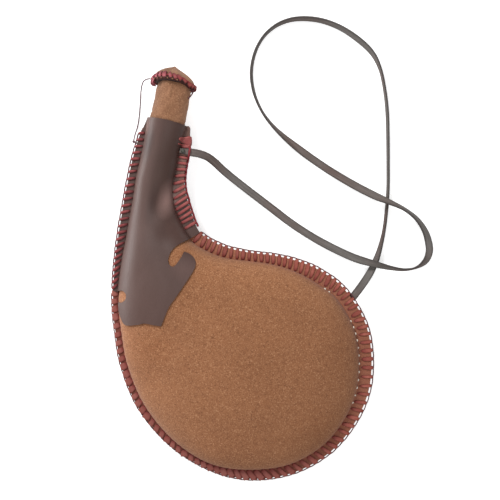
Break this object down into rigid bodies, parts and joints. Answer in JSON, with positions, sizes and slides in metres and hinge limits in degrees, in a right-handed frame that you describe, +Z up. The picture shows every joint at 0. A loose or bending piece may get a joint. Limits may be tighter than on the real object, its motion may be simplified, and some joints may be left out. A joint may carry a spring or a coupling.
{
  "type": "water bag",
  "caption": "Leather water bag lying on its back: pear-shaped laced body, scroll-cut neck collar, peaked stopper on a tether and a long flat carrying strap.",
  "frame": {"origin": "under the centre of the bag's bounding box without its free strap and tether, on the surface that it lies on", "axes": "+Y along the neck's axis towards the stopper, +Z up out of the bag's front face, +X to the right seen from the front"},
  "size_m": [0.3265, 0.4731, 0.0601],
  "materials": {
    "suede": "rough suede",
    "collar_leather": "smooth and satin, creased",
    "lace": "dyed, satin",
    "strap_leather": "matt, worn",
    "stud": "dull, aged",
    "bladder": "matt",
    "wood": "turned, matt"
  },
  "bodies": {
    "bag": {"front_panel": "suede", "back_panel": "suede", "inner_bladder": "bladder", "neck_tube": "wood", "collar_front": "collar_leather", "collar_back": "collar_leather", "body_lace": "lace", "collar_lace_left": "lace", "collar_lace_right": "lace", "collar_knot": "lace", "strap": "strap_leather", "strap_stud": "stud", "strap_knot": "strap_leather", "tether": "lace", "tether_knot": "lace"},
    "stopper": {"stopper_core": "wood", "stopper_sleeve": "suede", "stopper_disc": "suede", "stopper_cap": "suede", "stopper_rim_lace": "lace", "rim_lace_tail": "lace"}
  },
  "joints": [
    {"name": "stopper_pull", "type": "slide", "parent": "bag", "child": "stopper", "axis": [0, 1, 0], "range_m": [0, 0.03], "deforming": ["tether"]}
  ]
}
